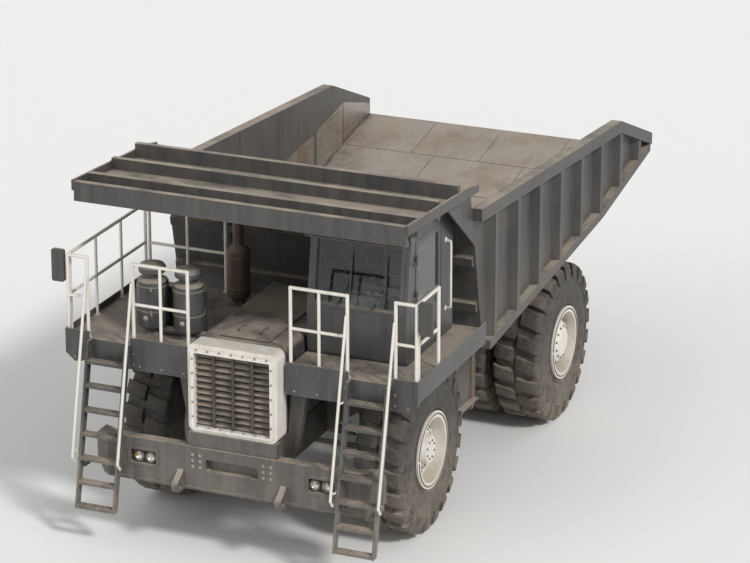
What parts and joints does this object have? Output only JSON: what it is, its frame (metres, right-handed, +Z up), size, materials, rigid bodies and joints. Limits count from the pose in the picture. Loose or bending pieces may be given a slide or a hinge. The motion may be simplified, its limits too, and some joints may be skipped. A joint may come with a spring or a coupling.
{
  "type": "mining dump truck",
  "caption": "Rigid-frame mining dump truck with a tipping rock body and canopy, a side cab, steered front wheels and twin rear wheels on free axles.",
  "frame": {"origin": "on the ground, midway along the overall length, on the centreline", "axes": "+X forward to the radiator, +Y to the truck's left where the cab is, +Z up"},
  "size_m": [9.6007, 5.1, 4.61],
  "materials": {
    "charcoal_paint": "satin, dusty",
    "dark_steel": "satin, dusty",
    "white_paint": "satin, dusty",
    "rod_chrome": "polished",
    "tyre_rubber": "matt, dusty",
    "window_glass": "clear, tinted",
    "lamp_lens": "clear",
    "cab_trim": "matt",
    "seat_fabric": "matt"
  },
  "bodies": {
    "chassis": {"frame_rails": "dark_steel", "crossmembers": "dark_steel", "strut_mounts": "dark_steel", "bumper": "charcoal_paint", "rear_axle": "dark_steel", "rear_struts": "dark_steel", "engine_block": "dark_steel", "drivetrain": "dark_steel", "radiator": "white_paint", "grille": "dark_steel", "hood": "charcoal_paint", "deck": "charcoal_paint", "deck_supports": "dark_steel", "ladders": "charcoal_paint", "handrails": "white_paint", "fuel_tank": "charcoal_paint", "hydraulic_tank": "charcoal_paint", "air_cleaners": "charcoal_paint", "exhaust": "dark_steel", "mirrors": "dark_steel", "lamps": "lamp_lens", "cab_shell": "charcoal_paint", "cab_roof": "charcoal_paint", "cab_glass": "window_glass", "cab_interior": "cab_trim", "cab_seat": "seat_fabric", "steer_barrels": "dark_steel"},
    "dump_bed": {"bed_floor": "charcoal_paint", "bed_headboard": "charcoal_paint", "bed_side_left": "charcoal_paint", "bed_side_right": "charcoal_paint", "bed_beams": "charcoal_paint", "bed_bolsters": "charcoal_paint", "canopy": "charcoal_paint", "rock_ejectors": "dark_steel"},
    "cab_door": {"cab_door": "charcoal_paint", "door_glass": "window_glass"},
    "knuckle_left": {"knuckle_left": "dark_steel"},
    "wheel_front_left": {"tyre_front_left": "tyre_rubber", "rim_front_left": "white_paint"},
    "wheel_rear_left": {"tyres_rear_left": "tyre_rubber", "rims_rear_left": "white_paint"},
    "steer_rod_left": {"steer_rod_left": "rod_chrome"},
    "hoist_barrel_left": {"hoist_barrel_left": "charcoal_paint"},
    "hoist_stage_left": {"hoist_stage_left": "rod_chrome"},
    "hoist_inner_left": {"hoist_inner_left": "rod_chrome"},
    "hoist_rod_left": {"hoist_rod_left": "rod_chrome"},
    "knuckle_right": {"knuckle_right": "dark_steel"},
    "wheel_front_right": {"tyre_front_right": "tyre_rubber", "rim_front_right": "white_paint"},
    "wheel_rear_right": {"tyres_rear_right": "tyre_rubber", "rims_rear_right": "white_paint"},
    "steer_rod_right": {"steer_rod_right": "rod_chrome"},
    "hoist_barrel_right": {"hoist_barrel_right": "charcoal_paint"},
    "hoist_stage_right": {"hoist_stage_right": "rod_chrome"},
    "hoist_inner_right": {"hoist_inner_right": "rod_chrome"},
    "hoist_rod_right": {"hoist_rod_right": "rod_chrome"},
    "tie_rod": {"tie_rod": "dark_steel"}
  },
  "joints": [
    {"name": "bed_hoist", "type": "hinge", "parent": "chassis", "child": "dump_bed", "pos_m": [-2.9, 0, 2], "axis": [0, -1, 0], "range_deg": [0, 48]},
    {"name": "door_swing", "type": "hinge", "parent": "chassis", "child": "cab_door", "pos_m": [3.353, 1.988, 3.37], "axis": [0, 0, -1], "range_deg": [0, 75]},
    {"name": "steer_left", "type": "hinge", "parent": "chassis", "child": "knuckle_left", "pos_m": [2.65, 1.08, 1.08722], "axis": [0, 0, 1], "range_deg": [-35, 35]},
    {"name": "front_wheel_left", "type": "hinge", "parent": "knuckle_left", "child": "wheel_front_left", "pos_m": [2.65, 1.6, 1.08722], "axis": [0, 1, 0], "continuous": true},
    {"name": "rear_wheels_left", "type": "hinge", "parent": "chassis", "child": "wheel_rear_left", "pos_m": [-1.55, 1.45, 1.08722], "axis": [0, 1, 0], "continuous": true},
    {"name": "steer_ram_left", "type": "slide", "parent": "chassis", "child": "steer_rod_left", "axis": [0, 1, 0], "range_m": [-0.218, 0.218]},
    {"name": "hoist_lean_left", "type": "hinge", "parent": "chassis", "child": "hoist_barrel_left", "pos_m": [-0.2, 0.69, 0.75], "axis": [0, -1, 0], "range_deg": [0, 23.36]},
    {"name": "hoist_stage_left", "type": "slide", "parent": "hoist_barrel_left", "child": "hoist_stage_left", "axis": [0.1821, 0, 0.9833], "range_m": [0, 0.7426]},
    {"name": "hoist_inner_left", "type": "slide", "parent": "hoist_stage_left", "child": "hoist_inner_left", "axis": [0.1821, 0, 0.9833], "range_m": [0, 0.7426]},
    {"name": "hoist_rod_left", "type": "slide", "parent": "hoist_inner_left", "child": "hoist_rod_left", "axis": [0.1821, 0, 0.9833], "range_m": [0, 0.7426]},
    {"name": "steer_right", "type": "hinge", "parent": "chassis", "child": "knuckle_right", "pos_m": [2.65, -1.08, 1.08722], "axis": [0, 0, 1], "range_deg": [-35, 35]},
    {"name": "front_wheel_right", "type": "hinge", "parent": "knuckle_right", "child": "wheel_front_right", "pos_m": [2.65, -1.6, 1.08722], "axis": [0, 1, 0], "continuous": true},
    {"name": "rear_wheels_right", "type": "hinge", "parent": "chassis", "child": "wheel_rear_right", "pos_m": [-1.55, -1.45, 1.08722], "axis": [0, 1, 0], "continuous": true},
    {"name": "steer_ram_right", "type": "slide", "parent": "chassis", "child": "steer_rod_right", "axis": [0, 1, 0], "range_m": [-0.218, 0.218]},
    {"name": "hoist_lean_right", "type": "hinge", "parent": "chassis", "child": "hoist_barrel_right", "pos_m": [-0.2, -0.69, 0.75], "axis": [0, -1, 0], "range_deg": [0, 23.36]},
    {"name": "hoist_stage_right", "type": "slide", "parent": "hoist_barrel_right", "child": "hoist_stage_right", "axis": [0.1821, 0, 0.9833], "range_m": [0, 0.7426]},
    {"name": "hoist_inner_right", "type": "slide", "parent": "hoist_stage_right", "child": "hoist_inner_right", "axis": [0.1821, 0, 0.9833], "range_m": [0, 0.7426]},
    {"name": "hoist_rod_right", "type": "slide", "parent": "hoist_inner_right", "child": "hoist_rod_right", "axis": [0.1821, 0, 0.9833], "range_m": [0, 0.7426]},
    {"name": "tie_rod_turn", "type": "hinge", "parent": "knuckle_left", "child": "tie_rod", "pos_m": [2.27, 1.08, 0.79722], "axis": [0, 0, 1], "range_deg": [-35, 35]}
  ],
  "couplings": [
    {"joint": "steer_ram_left", "follows": "steer_left", "m_per_rad": -0.3568},
    {"joint": "hoist_lean_left", "follows": "bed_hoist", "ratio": 0.48625},
    {"joint": "hoist_stage_left", "follows": "bed_hoist", "m_per_rad": 0.88584},
    {"joint": "hoist_inner_left", "follows": "bed_hoist", "m_per_rad": 0.88584},
    {"joint": "hoist_rod_left", "follows": "bed_hoist", "m_per_rad": 0.88584},
    {"joint": "steer_ram_right", "follows": "steer_left", "m_per_rad": -0.3568},
    {"joint": "hoist_lean_right", "follows": "bed_hoist", "ratio": 0.48625},
    {"joint": "hoist_stage_right", "follows": "bed_hoist", "m_per_rad": 0.88584},
    {"joint": "hoist_inner_right", "follows": "bed_hoist", "m_per_rad": 0.88584},
    {"joint": "hoist_rod_right", "follows": "bed_hoist", "m_per_rad": 0.88584},
    {"joint": "steer_right", "follows": "steer_left", "ratio": 1},
    {"joint": "tie_rod_turn", "follows": "steer_left", "ratio": -1}
  ]
}
